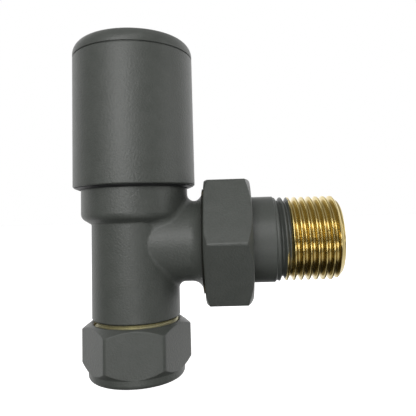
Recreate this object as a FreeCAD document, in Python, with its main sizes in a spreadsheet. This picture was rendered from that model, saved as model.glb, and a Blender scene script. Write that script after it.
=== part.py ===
"""Angle radiator valve with a handwheel: 15 mm compression inlet below, half-inch union tail at the side.

Millimetres. +Z runs up the spindle from the centre of the compression nut's lower face, and +X runs out along
the union tail. The valve is closed: its washer lies on the seat and the handwheel is at its lowest.
"""

import FreeCAD, Part
import os
import Sketcher
from FreeCAD import Placement, Rotation, Vector

SIZES = {
    # casing, outside
    "tail_height": 32.6,  # tail's axis above the compression nut's lower face
    "body_dia": 22.0,
    "shoulder_height": 14.3,  # lower end of the plain barrel, above the nut
    "collar_dia": 27.0,
    "collar_height": 39.2,  # lower edge of the collar
    "collar_slope": 1.6,  # drop of the collar's underside to the barrel
    "collar_round": 2.0,
    "collar_top": 53.2,
    "neck_dia": 19.9,
    "neck_blend": 1.8,  # round where the side neck meets the barrel
    "flare_radius": 3.0,
    "flare_rim": 0.4,
    "branch_reach": 6.3,  # how far the side branch runs inside the union nut
    # casing, inside
    "pipe_dia": 15.0,
    "pipe_gap": 0.1,
    "thread_foot": 6.4,  # lower end of the casing, inside the compression nut
    "mouth_depth": 2.17,
    "mouth_dia": 17.6,
    "pipe_stop": 19.0,
    "waterway_dia": 12.6,
    "seat_height": 25.5,
    "seat_width": 1.0,
    "seat_rise": 0.9,
    "chamber_dia": 16.8,
    "port_dia": 14.0,
    # pipe threads, 55 degree form
    "thread_pitch": 1.8143,
    "thread_depth": 1.162,
    "thread_flat": 0.3,
    "half_inch_dia": 20.955,
    "three_quarter_dia": 26.441,
    "thread_gap": 0.08,
    # compression nut and olive
    "nut_across": 23.8,
    "nut_height": 13.4,
    "nut_corner": 1.2,
    "nut_turn": 8.0,  # degrees from a corner on +X
    "nut_boss": 2.2,
    "nut_top_dia": 22.8,
    "nut_foot_round": 1.2,
    "nut_floor": 2.4,
    "nut_cone": 1.45,
    "olive_dia": 17.0,
    "olive_end_wall": 0.4,
    "olive_gap": 0.1,
    # union nut
    "union_across": 30.0,
    "union_cap_gap": 2.6,  # clear space between the handwheel's side and the union nut
    "union_flare_gap": 0.6,
    "union_length": 11.4,
    "union_corner": 0.8,
    "union_lip": 2.15,
    "union_inner_dia": 31.2,
    "union_outer_dia": 29.6,
    "union_hole_gap": 0.2,
    # union tail
    "nose_dia": 17.1,
    "nose_gap": 0.25,
    "nose_length": 3.1,
    "seal_wire": 1.44,
    "seal_groove": 1.8,
    "seal_start": 0.7,
    "seal_gap": 0.05,
    "flange_dia": 24.8,
    "flange_width": 2.7,
    "face_gap": 0.1,
    "tail_collar_dia": 21.5,
    "tail_collar_length": 8.1,
    "tail_thread_length": 16.1,
    "tail_chamfer": 1.4,
    "tail_bore_dia": 12.0,
    "key_depth": 12.0,
    # headwork
    "bonnet_thread_dia": 18.0,
    "bonnet_foot": 41.8,
    "bonnet_clear": 0.8,
    "fit_gap": 0.05,
    "seal_thickness": 0.8,
    "seal_dia": 24.4,
    "bonnet_across": 22.0,
    "bonnet_hex": 4.2,
    "bonnet_neck_dia": 13.0,
    "bonnet_top": 66.0,
    "spindle_thread_dia": 10.0,
    "spindle_lift": 4.5,
    "stem_dia": 7.0,
    "o_ring_wire": 1.2,
    "o_ring_height": 59.6,
    "o_ring_groove": 1.7,
    "packing_height": 62.0,
    "packing_length": 3.0,
    "packing_dia": 10.4,
    "gland_washer": 1.3,
    "gland_across": 16.0,
    "gland_foot": 60.0,
    "gland_cap": 2.1,
    # spindle, disc and washer
    "button_foot": 32.45,
    "button_dia": 6.8,
    "button_length": 1.5,
    "spindle_neck_dia": 4.8,
    "stop_foot": 36.2,
    "stop_dia": 11.6,
    "stop_length": 1.0,
    "shank_dia": 7.2,
    "spindle_thread_foot": 42.6,
    "spindle_thread_length": 10.2,
    "square_foot": 70.6,
    "square_side": 4.9,
    "spindle_top": 76.8,
    "button_gap": 0.05,
    "washer_thickness": 2.4,
    "washer_dia": 14.6,
    "disc_thickness": 1.7,
    "disc_hub_dia": 10.4,
    "disc_top": 35.6,
    "disc_screw_dia": 3.0,
    "disc_screw_depth": 3.5,
    "disc_screw_head_dia": 6.0,
    "disc_screw_head": 1.6,
    "slot_width": 0.8,
    "slot_depth": 0.7,
    # handwheel
    "cap_dia": 31.0,
    "cap_wall": 1.3,
    "cap_foot": 46.8,
    "cap_split": 80.1,  # top of the sleeve
    "cap_groove": 0.4,
    "cap_top": 84.6,
    "cap_round": 3.8,
    "cap_rim_round": 0.35,
    "cap_fit": 0.08,
    "spigot_wall": 1.7,
    "plate_thickness": 2.0,
    "insert_ring_foot": 64.0,
    "insert_ring_wall": 1.5,
    "insert_top": 77.0,
    "insert_plate": 2.6,
    "insert_hub_dia": 12.0,
    "insert_hub_foot": 69.4,
    "rib_width": 1.4,
    "rib_count": 6,
    "screw_dia": 3.5,
    "screw_length": 8.0,
    "screw_head_dia": 6.8,
    "screw_head": 1.9,
    "screw_washer_dia": 8.4,
    "screw_washer": 0.7,
}

ROOT_THREE = 3 ** 0.5
CHAMFER_SLOPE = 1 / ROOT_THREE  # rise of a 30 degree chamfer
WIDE = 1.4  # a cutter's outer radius, as a share of the hexagon's across-flats half


class Size:
    """A length that holds both its number and the spreadsheet formula that gives it."""

    def __init__(self, number, formula):
        self.number = number
        self.formula = formula

    def __add__(self, other):
        return combine(self, other, "+", self.number + number_of(other))

    def __radd__(self, other):
        return combine(other, self, "+", number_of(other) + self.number)

    def __sub__(self, other):
        return combine(self, other, "-", self.number - number_of(other))

    def __mul__(self, other):
        return combine(self, other, "*", self.number * number_of(other))

    def __truediv__(self, other):
        return combine(self, other, "/", self.number / number_of(other))


def number_of(value):
    return value.number if isinstance(value, Size) else float(value)


def formula_of(value):
    return value.formula if isinstance(value, Size) else repr(float(value))


def combine(left, right, sign, number):
    return Size(number, f"({formula_of(left)} {sign} {formula_of(right)})")


class Sheet:
    """The driving dimensions: sheet.NAME gives the Size that the spreadsheet cell NAME holds."""

    def __init__(self, document, sizes):
        table = document.addObject("Spreadsheet::Sheet", "dims")
        for row, (name, value) in enumerate(sizes.items(), start=1):
            table.set(f"A{row}", name)
            table.set(f"B{row}", str(value))
            table.setAlias(f"B{row}", name)
            setattr(self, name, Size(float(value), f"dims.{name}"))


doc = FreeCAD.newDocument("radiator_valve")
dims = Sheet(doc, SIZES)
doc.recompute()

ZERO = Size(0.0, "0")


# ---- modelling helpers -------------------------------------------------------------------------------------


def new_body(label):
    body = doc.addObject("PartDesign::Body", label)
    body.Label = label
    return body


def new_sketch(body, name, role, across=None, up=None, out=None):
    """A sketch on one of the body's origin planes, moved by an offset in the plane and along its normal."""
    sketch = body.newObject("Sketcher::SketchObject", f"{body.Label}_{name}")
    plane = next(f for f in body.Origin.OriginFeatures if f.Role == role)
    sketch.AttachmentSupport = [(plane, "")]
    sketch.MapMode = "FlatFace"
    moves = {"x": across, "y": up, "z": out}
    offset = [number_of(moves[axis] or 0) for axis in "xyz"]
    sketch.AttachmentOffset = Placement(Vector(*offset), Rotation())
    for axis, move in moves.items():
        if move is not None:
            sketch.setExpression(f"AttachmentOffset.Base.{axis}", move.formula)
    return sketch


def pin_point(sketch, line, point, horizontal, size):
    """Holds one end of a line at a distance from the sketch's origin."""
    if size.number == 0:
        axis = -2 if horizontal else -1
        sketch.addConstraint(Sketcher.Constraint("PointOnObject", line, point, axis))
        return
    kind = "DistanceX" if horizontal else "DistanceY"
    index = sketch.addConstraint(Sketcher.Constraint(kind, -1, 1, line, point, size.number))
    sketch.setExpression(f"Constraints[{index}]", size.formula)


def outline(sketch, corners):
    """Draws a closed outline through corners given as (across, up) Sizes, each held by its own formulas."""
    points = [Vector(number_of(a), number_of(u), 0) for a, u in corners]
    for start, end in zip(points, points[1:] + points[:1]):
        sketch.addGeometry(Part.LineSegment(start, end), False)
    last = len(points) - 1
    for line in range(len(points)):
        following = 0 if line == last else line + 1
        sketch.addConstraint(Sketcher.Constraint("Coincident", line, 2, following, 1))
    for line, (across, up) in enumerate(corners):
        pin_point(sketch, line, 1, True, across)
        pin_point(sketch, line, 1, False, up)
    return sketch


def polygon(sketch, sides, corner_radius, first_on_x):
    """Draws a regular polygon on a construction circle, with one corner on the sketch's X or Y axis."""
    turn = 0 if first_on_x else 90
    corners = [Rotation(Vector(0, 0, 1), turn + 360 / sides * n) for n in range(sides)]
    points = [r.multVec(Vector(corner_radius.number, 0, 0)) for r in corners]
    for start, end in zip(points, points[1:] + points[:1]):
        sketch.addGeometry(Part.LineSegment(start, end), False)
    circle = sketch.addGeometry(Part.Circle(Vector(), Vector(0, 0, 1), corner_radius.number), True)
    sketch.addConstraint(Sketcher.Constraint("Coincident", circle, 3, -1, 1))
    index = sketch.addConstraint(Sketcher.Constraint("Radius", circle, corner_radius.number))
    sketch.setExpression(f"Constraints[{index}]", corner_radius.formula)
    for line in range(sides):
        sketch.addConstraint(Sketcher.Constraint("Coincident", line, 2, (line + 1) % sides, 1))
        sketch.addConstraint(Sketcher.Constraint("PointOnObject", line, 1, circle))
    for line in range(1, sides):
        sketch.addConstraint(Sketcher.Constraint("Equal", 0, line))
    sketch.addConstraint(Sketcher.Constraint("PointOnObject", 0, 1, -1 if first_on_x else -2))
    return sketch


def revolve(body, kind, name, corners, along_x=False):
    """Turns (Revolution) or bores (Groove) an outline: radius and height round Z, or length and radius round X."""
    height = dims.tail_height if along_x else None
    sketch = outline(new_sketch(body, f"{name}_outline", "XZ_Plane", up=height), corners)
    feature = body.newObject(f"PartDesign::{kind}", f"{body.Label}_{name}")
    feature.Profile = sketch
    feature.ReferenceAxis = (sketch, ["H_Axis" if along_x else "V_Axis"])
    feature.Angle = 360
    return feature


def turn(body, name, corners, along_x=False):
    return revolve(body, "Revolution", name, corners, along_x)


def bore(body, name, corners, along_x=False):
    """Cuts a turned outline out of the body and checks that material really came away."""
    doc.recompute()
    before = body.Shape.Volume
    feature = revolve(body, "Groove", name, corners, along_x)
    doc.recompute()
    if not body.Shape.Volume < before - 1e-6:
        raise RuntimeError(f"{feature.Label} cut nothing")
    return feature


def pad(body, sketch, length):
    feature = body.newObject("PartDesign::Pad", f"{sketch.Label}_pad")
    feature.Profile = sketch
    feature.Length = length.number
    feature.setExpression("Length", length.formula)
    return feature


def pocket(body, sketch, depth, upwards):
    """Cuts a sketch to a depth, along the sketch's normal if upwards, else against it."""
    doc.recompute()
    before = body.Shape.Volume
    feature = body.newObject("PartDesign::Pocket", f"{sketch.Label}_pocket")
    feature.Profile = sketch
    feature.Length = depth.number
    feature.setExpression("Length", depth.formula)
    feature.Reversed = upwards
    doc.recompute()
    if not body.Shape.Volume < before - 1e-6:
        raise RuntimeError(f"{feature.Label} cut nothing")
    return feature


def dress(body, kind, prop, name, size, chosen):
    """Rounds or chamfers the edges of the body's shape for which chosen(edge) is true."""
    doc.recompute()
    base = body.Tip
    edges = [f"Edge{n}" for n, edge in enumerate(base.Shape.Edges, start=1) if chosen(edge)]
    if not edges:
        raise RuntimeError(f"{body.Label}: no edge for {name}")
    feature = body.newObject(f"PartDesign::{kind}", f"{body.Label}_{name}")
    feature.Base = (base, edges)
    setattr(feature, prop, size.number)
    feature.setExpression(prop, size.formula)
    return feature


def fillet(body, name, size, chosen):
    return dress(body, "Fillet", "Radius", name, size, chosen)


def chamfer(body, name, size, chosen):
    return dress(body, "Chamfer", "Size", name, size, chosen)


def near(a, b):
    return abs(a - b) < 1e-4


def ring_at(radius, height):
    """Picks the circular edges round the body's Z axis with this radius, at this height."""

    def chosen(edge):
        curve = edge.Curve
        if not isinstance(curve, Part.Circle) or abs(curve.Axis.z) < 0.999:
            return False
        centre = curve.Center
        on_axis = near(centre.x, 0) and near(centre.y, 0)
        return on_axis and near(curve.Radius, radius.number) and near(centre.z, height.number)

    return chosen


def upright(edge):
    """Picks straight edges parallel to Z, such as a hexagon bar's corners."""
    return isinstance(edge.Curve, Part.Line) and abs(edge.Curve.Direction.z) > 0.999 and edge.Length > 1


def thread(body, name, radius, start, end, along_x=False):
    """Cuts thread grooves one pitch apart between two heights, or two lengths along X, as closed rings."""
    pitch = dims.thread_pitch
    half_root = dims.thread_flat / 2
    half_mouth = (pitch - dims.thread_flat) / 2
    centre = start + pitch / 2
    root = radius - dims.thread_depth
    proud = radius + dims.thread_flat
    corners = [
        (root, centre - half_root),
        (radius, centre - half_mouth),
        (proud, centre - half_mouth),
        (proud, centre + half_mouth),
        (radius, centre + half_mouth),
        (root, centre + half_root),
    ]
    if along_x:
        corners = [(height, reach) for reach, height in corners]
    groove = bore(body, name, corners, along_x)
    count = int((end.number - start.number) / pitch.number)
    pattern = body.newObject("PartDesign::LinearPattern", f"{body.Label}_{name}_turns")
    pattern.Originals = [groove]
    pattern.Direction = (groove.Profile[0], ["H_Axis" if along_x else "V_Axis"])
    pattern.Length = pitch.number * (count - 1)
    pattern.setExpression("Length", (pitch * (count - 1)).formula)
    pattern.Occurrences = count
    body.Tip = pattern
    return pattern


def ring(label, inner_radius, outer_radius, foot, top):
    """A plain turned ring about Z."""
    body = new_body(label)
    corners = [(inner_radius, foot), (outer_radius, foot), (outer_radius, top), (inner_radius, top)]
    turn(body, "ring", corners)
    return body


def o_ring(label, wire, centre_radius, height):
    torus = doc.addObject("Part::Torus", label)
    torus.Label = label
    torus.setExpression("Radius1", centre_radius.formula)
    torus.setExpression("Radius2", (wire / 2).formula)
    torus.setExpression("Placement.Base.z", height.formula)
    return torus


def lay_along_tail(piece, start):
    """Turns a piece modelled up Z so that it runs out along the tail's axis, from a distance along X."""
    piece.Placement = Placement(Vector(), Rotation(Vector(0, 1, 0), 90))
    piece.setExpression("Placement.Base.x", start.formula)
    piece.setExpression("Placement.Base.z", dims.tail_height.formula)


def cut_above(body, name, start_radius, top, slope):
    """Cuts a hexagon's corners at its upper end with a cone that starts at start_radius on the end face."""
    reach = start_radius * WIDE
    corners = [(start_radius, top), (reach, top - (reach - start_radius) * slope), (reach, top)]
    bore(body, name, corners)


def cut_below(body, name, start_radius, foot, slope):
    """Cuts a hexagon's corners at its lower end."""
    reach = start_radius * WIDE
    corners = [(start_radius, foot), (reach, foot), (reach, foot + (reach - start_radius) * slope)]
    bore(body, name, corners)


# ---- places along the tail's axis, from the spindle's axis ---------------------------------------------------


def union_start():
    """The union nut's inner face, which stays clear of the handwheel whatever its diameter."""
    return dims.cap_dia / 2 + dims.union_cap_gap


def flare_face():
    """Where the casing's flare ends, just behind the union nut."""
    return union_start() - dims.union_flare_gap


def branch_end():
    return union_start() + dims.branch_reach


def nose_start():
    """Where the tail's nose begins, inside the side branch."""
    return branch_end() + dims.face_gap - dims.nose_length


# ---- casing ------------------------------------------------------------------------------------------------


def body():
    """The forged casing: barrel, collar, side branch, seat and both outside threads."""
    part = new_body("body")
    radius = dims.body_dia / 2
    collar = dims.collar_dia / 2
    stub = dims.half_inch_dia / 2
    underside = dims.collar_height - dims.collar_slope
    turn(
        part,
        "barrel",
        [
            (ZERO, dims.thread_foot),
            (stub, dims.thread_foot),
            (stub, dims.shoulder_height),
            (radius, dims.shoulder_height),
            (radius, underside),
            (collar, dims.collar_height),
            (collar, dims.collar_top),
            (ZERO, dims.collar_top),
        ],
    )
    fillet(part, "collar_round", dims.collar_round, ring_at(collar, dims.collar_height))
    chamfer(part, "barrel_foot", dims.thread_flat, ring_at(radius, dims.shoulder_height))
    neck = dims.neck_dia / 2
    face = flare_face()
    end = branch_end()
    union_radius = dims.three_quarter_dia / 2
    turn(
        part,
        "branch",
        [
            (ZERO, ZERO),
            (ZERO, neck),
            (face, neck),
            (face, union_radius),
            (end, union_radius),
            (end, ZERO),
        ],
        along_x=True,
    )

    def flare_edge(edge):
        curve = edge.Curve
        on_x = isinstance(curve, Part.Circle) and abs(curve.Axis.x) > 0.999
        return on_x and near(curve.Radius, neck.number) and near(curve.Center.x, face.number)

    fillet(part, "flare", dims.flare_radius, flare_edge)

    def junction(edge):
        box = edge.BoundBox
        at_neck = box.XMin > 1 and box.XMax < face.number - dims.flare_radius.number - 0.5
        return at_neck and not isinstance(edge.Curve, (Part.Circle, Part.Line))

    fillet(part, "neck_blend", dims.neck_blend, junction)
    way = dims.waterway_dia / 2
    seat = dims.seat_height
    seat_edge = way + dims.seat_width
    chamber = dims.chamber_dia / 2
    socket = dims.pipe_dia / 2 + dims.pipe_gap
    trough = seat - dims.seat_rise
    bonnet_bore = dims.bonnet_thread_dia / 2
    bonnet_floor = dims.bonnet_foot - dims.bonnet_clear
    bore(
        part,
        "waterway",
        [
            (ZERO, dims.thread_foot),
            (dims.mouth_dia / 2, dims.thread_foot),
            (socket, dims.thread_foot + dims.mouth_depth),
            (socket, dims.pipe_stop),
            (way, dims.pipe_stop),
            (way, seat),
            (seat_edge, seat),
            (seat_edge, trough),
            (chamber, trough),
            (chamber, bonnet_floor),
            (bonnet_bore, bonnet_floor),
            (bonnet_bore, dims.collar_top),
            (ZERO, dims.collar_top),
        ],
    )
    pocket_radius = dims.nose_dia / 2 + dims.nose_gap
    pocket_start = end - dims.nose_length - dims.face_gap
    port = dims.port_dia / 2
    bore(
        part,
        "side_port",
        [
            (ZERO, ZERO),
            (ZERO, port),
            (pocket_start, port),
            (pocket_start, pocket_radius),
            (end, pocket_radius),
            (end, ZERO),
        ],
        along_x=True,
    )
    thread(part, "inlet_thread", stub, dims.thread_foot, dims.shoulder_height)
    thread(part, "union_thread", union_radius, face + dims.flare_rim, end, along_x=True)
    return part


# ---- inlet -------------------------------------------------------------------------------------------------


def compression_nut():
    """Hexagon nut with a round boss below, a tube hole and a cone that squeezes the olive."""
    part = new_body("compression_nut")
    flat = dims.nut_across / 2
    top = dims.nut_height
    bar = polygon(new_sketch(part, "hexagon", "XY_Plane"), 6, flat * 2 / ROOT_THREE, True)
    pad(part, bar, top)
    fillet(part, "corners", dims.nut_corner, upright)
    wide = flat * WIDE
    bore(
        part,
        "boss",
        [
            (flat, ZERO),
            (wide, ZERO),
            (wide, dims.nut_boss + (wide - flat)),
            (flat, dims.nut_boss),
        ],
    )
    cut_above(part, "top_chamfer", dims.nut_top_dia / 2, top, 0.72)
    hole = dims.pipe_dia / 2 + dims.pipe_gap
    thread_bore = dims.half_inch_dia / 2 + dims.thread_gap
    cone_top = dims.nut_floor + dims.nut_cone
    bore(
        part,
        "bore",
        [
            (ZERO, ZERO),
            (hole, ZERO),
            (hole, dims.nut_floor),
            (hole + dims.nut_cone, cone_top),
            (thread_bore, cone_top),
            (thread_bore, top),
            (ZERO, top),
        ],
    )
    fillet(part, "foot_round", dims.nut_foot_round, ring_at(flat, ZERO))
    part.Placement = Placement(Vector(), Rotation(Vector(0, 0, 1), dims.nut_turn.number))
    part.setExpression("Placement.Rotation.Angle", dims.nut_turn.formula)
    return part


def olive():
    """The soft brass ring that the nut squeezes onto the pipe, coned at both ends."""
    part = new_body("olive")
    inner = dims.pipe_dia / 2 + dims.pipe_gap
    outer = dims.olive_dia / 2
    end = inner + dims.olive_end_wall
    foot = dims.nut_floor + dims.olive_end_wall + dims.olive_gap
    lower = foot + (outer - end)
    mouth = dims.mouth_dia / 2
    slope = dims.mouth_depth / (mouth - inner)
    upper = dims.thread_foot + (mouth - outer - dims.olive_gap) * slope
    top = upper + (outer - end) * slope
    turn(
        part,
        "section",
        [(inner, foot), (end, foot), (outer, lower), (outer, upper), (end, top), (inner, top)],
    )
    return part


# ---- union -------------------------------------------------------------------------------------------------


def union_nut():
    """The larger hexagon nut, whose lip pulls the tail's flange against the casing."""
    part = new_body("union_nut")
    length = dims.union_length
    bar = polygon(new_sketch(part, "hexagon", "XY_Plane"), 6, dims.union_across / ROOT_THREE, False)
    pad(part, bar, length)
    fillet(part, "corners", dims.union_corner, upright)
    cut_below(part, "inner_chamfer", dims.union_inner_dia / 2, ZERO, CHAMFER_SLOPE)
    cut_above(part, "outer_chamfer", dims.union_outer_dia / 2, length, CHAMFER_SLOPE)
    thread_bore = dims.three_quarter_dia / 2 + dims.thread_gap
    hole = dims.tail_collar_dia / 2 + dims.union_hole_gap
    lip = length - dims.union_lip
    bore(
        part,
        "bore",
        [(ZERO, ZERO), (thread_bore, ZERO), (thread_bore, lip), (hole, lip), (hole, length), (ZERO, length)],
    )
    lay_along_tail(part, union_start())
    return part


def union_tail():
    """The tail that screws into the radiator: nose, flange, plain collar, thread and hexagon key socket."""
    part = new_body("union_tail")
    nose = dims.nose_dia / 2
    groove_floor = nose + dims.nose_gap - dims.seal_wire - dims.seal_gap * 2
    groove_start = dims.seal_start
    groove_end = groove_start + dims.seal_groove
    flange_end = dims.nose_length + dims.flange_width
    collar_end = flange_end + dims.tail_collar_length
    length = collar_end + dims.tail_thread_length
    crest = dims.half_inch_dia / 2
    collar = dims.tail_collar_dia / 2
    turn(
        part,
        "outside",
        [
            (ZERO, ZERO),
            (nose, ZERO),
            (nose, groove_start),
            (groove_floor, groove_start),
            (groove_floor, groove_end),
            (nose, groove_end),
            (nose, dims.nose_length),
            (dims.flange_dia / 2, dims.nose_length),
            (dims.flange_dia / 2, flange_end),
            (collar, flange_end),
            (collar, collar_end),
            (crest, collar_end),
            (crest, length - dims.tail_chamfer),
            (crest - dims.tail_chamfer, length),
            (ZERO, length),
        ],
    )
    hole = dims.tail_bore_dia / 2
    bore(part, "bore", [(ZERO, ZERO), (hole, ZERO), (hole, length), (ZERO, length)])
    key = new_sketch(part, "key", "XY_Plane", out=length)
    polygon(key, 6, dims.tail_bore_dia / ROOT_THREE, False)
    pocket(part, key, dims.key_depth, upwards=False)
    thread(part, "radiator_thread", crest, collar_end, length - dims.tail_chamfer)
    lay_along_tail(part, nose_start())
    return part


def union_seal():
    """Rubber O-ring in the groove of the tail's nose."""
    wire = dims.seal_wire
    centre = dims.nose_dia / 2 + dims.nose_gap - dims.seal_gap - wire / 2
    part = o_ring("union_seal", wire, centre, ZERO)
    lay_along_tail(part, nose_start() + dims.seal_start + dims.seal_groove / 2)
    return part


# ---- headwork ----------------------------------------------------------------------------------------------


def hexagon_foot():
    """Height of the bonnet's hexagon, which clamps the seal on the collar."""
    return dims.collar_top + dims.seal_thickness


def gland_roof():
    """Height of the gland nut's inner face."""
    return dims.packing_height + dims.packing_length + dims.gland_washer


def bonnet():
    """The brass head that screws into the casing and carries the spindle's thread and seals."""
    part = new_body("bonnet")
    plug = dims.bonnet_thread_dia / 2 - dims.fit_gap
    neck = dims.bonnet_neck_dia / 2
    foot = dims.bonnet_foot
    top = dims.bonnet_top
    hexagon = hexagon_foot()
    turn(
        part,
        "outside",
        [(ZERO, foot), (plug, foot), (plug, hexagon), (neck, hexagon), (neck, top), (ZERO, top)],
    )
    sketch = new_sketch(part, "hexagon", "XY_Plane", out=hexagon)
    polygon(sketch, 6, dims.bonnet_across / ROOT_THREE, True)
    pad(part, sketch, dims.bonnet_hex)
    threaded = dims.spindle_thread_dia / 2 + dims.fit_gap
    stem = dims.stem_dia / 2 + dims.fit_gap
    thread_top = dims.spindle_thread_foot + dims.spindle_thread_length + dims.spindle_lift + dims.fit_gap * 4
    ring_floor = dims.o_ring_height - dims.o_ring_groove / 2
    ring_roof = dims.o_ring_height + dims.o_ring_groove / 2
    ring_radius = dims.stem_dia / 2 + dims.o_ring_wire + dims.fit_gap * 2
    packing = dims.packing_dia / 2
    bore(
        part,
        "spindle_way",
        [
            (ZERO, foot),
            (threaded, foot),
            (threaded, thread_top),
            (stem, thread_top),
            (stem, ring_floor),
            (ring_radius, ring_floor),
            (ring_radius, ring_roof),
            (stem, ring_roof),
            (stem, dims.packing_height),
            (packing, dims.packing_height),
            (packing, top),
            (ZERO, top),
        ],
    )
    return part


def bonnet_seal():
    inner = dims.bonnet_thread_dia / 2 + dims.fit_gap
    return ring("bonnet_seal", inner, dims.seal_dia / 2, dims.collar_top, hexagon_foot())


def spindle_o_ring():
    centre = dims.stem_dia / 2 + dims.fit_gap + dims.o_ring_wire / 2
    return o_ring("spindle_o_ring", dims.o_ring_wire, centre, dims.o_ring_height)


def gland_packing():
    foot = dims.packing_height
    outer = dims.packing_dia / 2 - dims.fit_gap
    return ring("gland_packing", dims.stem_dia / 2 + dims.fit_gap, outer, foot, foot + dims.packing_length)


def gland_washer():
    foot = dims.packing_height + dims.packing_length
    outer = dims.packing_dia / 2 - dims.fit_gap
    return ring("gland_washer", dims.stem_dia / 2 + dims.fit_gap, outer, foot, gland_roof())


def gland_nut():
    """Small hexagon nut on the bonnet's neck, which presses the packing."""
    part = new_body("gland_nut")
    foot = dims.gland_foot
    roof = gland_roof()
    top = roof + dims.gland_cap
    sketch = new_sketch(part, "hexagon", "XY_Plane", out=foot)
    polygon(sketch, 6, dims.gland_across / ROOT_THREE, True)
    pad(part, sketch, top - foot)
    cut_above(part, "top_chamfer", dims.gland_across / 2, top, CHAMFER_SLOPE)
    neck = dims.bonnet_neck_dia / 2 + dims.fit_gap
    hole = dims.stem_dia / 2 + dims.fit_gap * 3
    bore(
        part,
        "bore",
        [(ZERO, foot), (neck, foot), (neck, roof), (hole, roof), (hole, top), (ZERO, top)],
    )
    return part


def spindle():
    """Brass spindle: foot button, stop collar, screw, stem and the square that the handwheel sits on."""
    part = new_body("spindle")
    foot = dims.button_foot
    button_top = foot + dims.button_length
    stop_top = dims.stop_foot + dims.stop_length
    thread_foot = dims.spindle_thread_foot
    thread_top = thread_foot + dims.spindle_thread_length
    button = dims.button_dia / 2
    neck = dims.spindle_neck_dia / 2
    stop = dims.stop_dia / 2
    shank = dims.shank_dia / 2
    screw = dims.spindle_thread_dia / 2 - dims.fit_gap / 2
    stem = dims.stem_dia / 2
    top = dims.spindle_top
    turn(
        part,
        "outside",
        [
            (ZERO, foot),
            (button, foot),
            (button, button_top),
            (neck, button_top),
            (neck, dims.stop_foot),
            (stop, dims.stop_foot),
            (stop, stop_top),
            (shank, stop_top),
            (shank, thread_foot),
            (screw, thread_foot),
            (screw, thread_top),
            (stem, thread_top),
            (stem, dims.square_foot),
            (ZERO, dims.square_foot),
        ],
    )
    square = new_sketch(part, "square", "XY_Plane", out=dims.square_foot)
    polygon(square, 4, dims.square_side / 2 * 2**0.5, True)
    pad(part, square, top - dims.square_foot)
    hole = dims.screw_dia / 2 + dims.fit_gap
    depth = top - dims.screw_length - dims.fit_gap * 4
    bore(part, "screw_hole", [(ZERO, depth), (hole, depth), (hole, top), (ZERO, top)])
    return part


def disc_holder():
    """Brass carrier of the sealing washer, crimped over the spindle's button so that it lifts but needn't turn."""
    part = new_body("disc_holder")
    foot = dims.seat_height + dims.washer_thickness
    shelf = foot + dims.disc_thickness
    top = dims.disc_top
    hub = dims.disc_hub_dia / 2
    rim = dims.washer_dia / 2
    turn(
        part,
        "outside",
        [(ZERO, foot), (rim, foot), (rim, shelf), (hub, shelf), (hub, top), (ZERO, top)],
    )
    gap = dims.button_gap
    cavity_foot = dims.button_foot - gap
    cavity_top = dims.button_foot + dims.button_length + gap
    cavity = dims.button_dia / 2 + gap
    neck = dims.spindle_neck_dia / 2 + gap
    bore(
        part,
        "button_pocket",
        [
            (ZERO, cavity_foot),
            (cavity, cavity_foot),
            (cavity, cavity_top),
            (neck, cavity_top),
            (neck, top),
            (ZERO, top),
        ],
    )
    hole = dims.disc_screw_dia / 2 + gap
    roof = foot + dims.disc_screw_depth + gap
    bore(part, "screw_hole", [(ZERO, foot), (hole, foot), (hole, roof), (ZERO, roof)])
    return part


def valve_washer():
    inner = dims.disc_screw_dia / 2 + dims.fit_gap
    top = dims.seat_height + dims.washer_thickness
    return ring("valve_washer", inner, dims.washer_dia / 2, dims.seat_height, top)


def slotted_screw(label, shank_radius, shank_end, head_radius, head_inner, head_outer, points_up):
    """A cheese-head screw with a slot, its head outside and its shank running to shank_end."""
    part = new_body(label)
    corners = [
        (ZERO, head_outer),
        (head_radius, head_outer),
        (head_radius, head_inner),
        (shank_radius, head_inner),
        (shank_radius, shank_end),
        (ZERO, shank_end),
    ]
    turn(part, "outside", corners)
    slot = new_sketch(part, "slot", "XY_Plane", out=head_outer)
    half = dims.slot_width.number / 2
    reach = head_radius.number + 1
    corners = [Vector(-reach, -half, 0), Vector(reach, -half, 0), Vector(reach, half, 0), Vector(-reach, half, 0)]
    for start, end in zip(corners, corners[1:] + corners[:1]):
        slot.addGeometry(Part.LineSegment(start, end), False)
    for line in range(4):
        slot.addConstraint(Sketcher.Constraint("Coincident", line, 2, (line + 1) % 4, 1))
    for line, way in enumerate(("Horizontal", "Vertical", "Horizontal", "Vertical")):
        slot.addConstraint(Sketcher.Constraint(way, line))
    slot.addConstraint(Sketcher.Constraint("Symmetric", 0, 1, 2, 1, -1, 1))
    for line, kind, size in ((0, "DistanceX", (head_radius + 1) * 2), (1, "DistanceY", dims.slot_width)):
        index = slot.addConstraint(Sketcher.Constraint(kind, line, 1, line, 2, size.number))
        slot.setExpression(f"Constraints[{index}]", size.formula)
    pocket(part, slot, dims.slot_depth, upwards=points_up)
    return part


def washer_screw():
    """Screw that holds the rubber washer under its carrier, head down in the waterway."""
    seat = dims.seat_height
    end = seat + dims.washer_thickness + dims.disc_screw_depth
    head = dims.disc_screw_head_dia / 2
    return slotted_screw(
        "washer_screw", dims.disc_screw_dia / 2, end, head, seat, seat - dims.disc_screw_head, True
    )


# ---- handwheel ---------------------------------------------------------------------------------------------


def cap_bore():
    return dims.cap_dia / 2 - dims.cap_wall


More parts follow.
